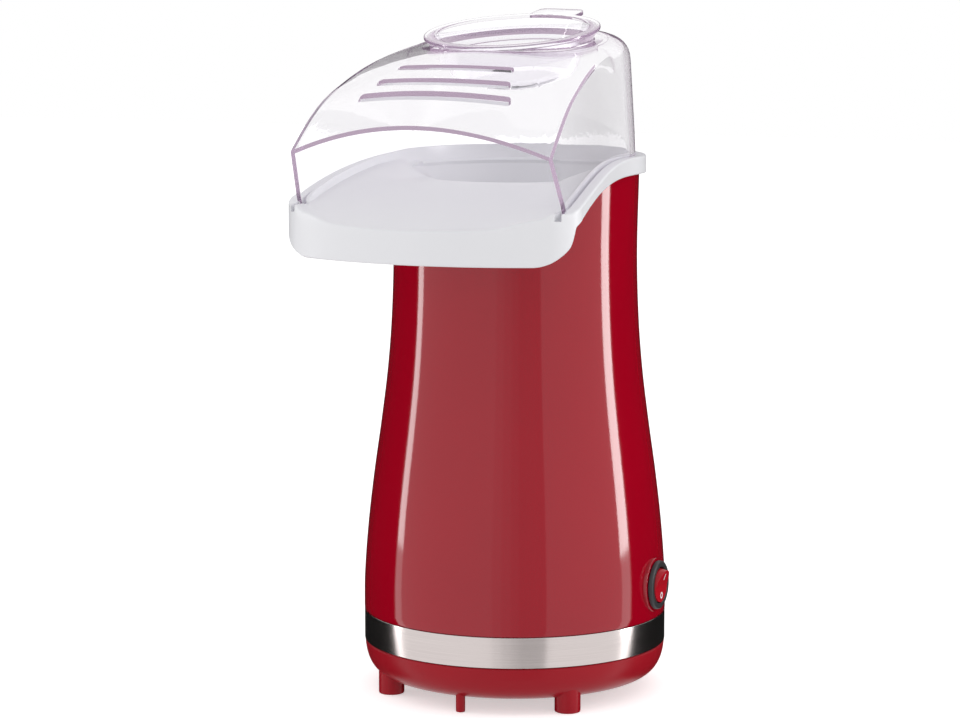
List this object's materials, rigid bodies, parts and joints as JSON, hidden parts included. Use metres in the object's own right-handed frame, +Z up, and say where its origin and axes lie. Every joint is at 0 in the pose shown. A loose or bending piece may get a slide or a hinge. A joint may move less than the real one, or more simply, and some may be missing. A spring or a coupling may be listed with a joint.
{
  "type": "hot-air popcorn maker",
  "caption": "Upright hot-air popcorn maker: round tapered body on feet, steel band, side rocker switch, open-fronted chute, clear vented hood and lift-out measuring cup.",
  "frame": {"origin": "centre of the footprint on the floor, under the middle of the bounding box", "axes": "+Z up, chute and mouth towards -Y, rocker switch towards +X, cord inlet towards +Y"},
  "size_m": [0.146, 0.1906, 0.3134],
  "materials": {
    "red": "deep red moulded plastic, high gloss",
    "steel": "brushed round the band",
    "white": "white moulded plastic, soft gloss",
    "clear": "clear moulded plastic, polished",
    "black": "black moulded plastic",
    "rocker_red": "translucent red rocker, glossy",
    "brass": "plain brass",
    "phenolic": "brown heat-proof moulding",
    "aluminium": "spun aluminium",
    "seal": "grey silicone",
    "mica": "pressed mica sheet",
    "heating_wire": "oxidised resistance wire",
    "plated_steel": "zinc plated",
    "board": "bare circuit board",
    "fuse": "ceramic"
  },
  "bodies": {
    "machine": {"base_pan": "red", "body_shell": "red", "steel_band": "steel", "switch_housing": "black", "cord_bushing": "black", "motor_end_cap": "black", "diode_1": "black", "diode_2": "black", "diode_3": "black", "diode_4": "black", "switch_terminal_1": "brass", "switch_terminal_2": "brass", "switch_terminal_3": "brass", "heater_duct": "phenolic", "popping_chamber": "aluminium", "thermostat": "aluminium", "chamber_seal": "seal", "mica_plate_1": "mica", "mica_plate_2": "mica", "heating_coil": "heating_wire", "motor_bracket": "plated_steel", "motor_can": "plated_steel", "base_screw_1": "plated_steel", "base_screw_2": "plated_steel", "base_screw_3": "plated_steel", "base_screw_4": "plated_steel", "duct_screw_1": "plated_steel", "duct_screw_2": "plated_steel", "duct_screw_3": "plated_steel", "bracket_screw_1": "plated_steel", "bracket_screw_2": "plated_steel", "bracket_screw_3": "plated_steel", "motor_screw_1": "plated_steel", "motor_screw_2": "plated_steel", "rectifier_board": "board", "thermal_fuse": "fuse"},
    "rocker": {"switch_rocker": "rocker_red"},
    "fan": {"motor_shaft": "plated_steel", "fan_impeller": "black"},
    "chute": {"popcorn_chute": "white"},
    "hood": {"clear_hood": "clear"},
    "cup": {"measuring_cup": "clear"}
  },
  "joints": [
    {"name": "rocker_switch", "type": "hinge", "parent": "machine", "child": "rocker", "pos_m": [0.06849, 0.02269, 0.0526], "axis": [0, -1, 0], "range_deg": [0, 20]},
    {"name": "fan_spin", "type": "hinge", "parent": "machine", "child": "fan", "pos_m": [-0.00286, 0.02269, 0.073], "axis": [0, 0, 1], "continuous": true},
    {"name": "chute_lift", "type": "slide", "parent": "machine", "child": "chute", "axis": [0, 0, 1], "range_m": [0, 0.06]},
    {"name": "hood_lift", "type": "slide", "parent": "chute", "child": "hood", "axis": [0, 0, 1], "range_m": [0, 0.06]},
    {"name": "cup_lift", "type": "slide", "parent": "hood", "child": "cup", "axis": [0, -0.165, 0.9863], "range_m": [0, 0.04]}
  ]
}
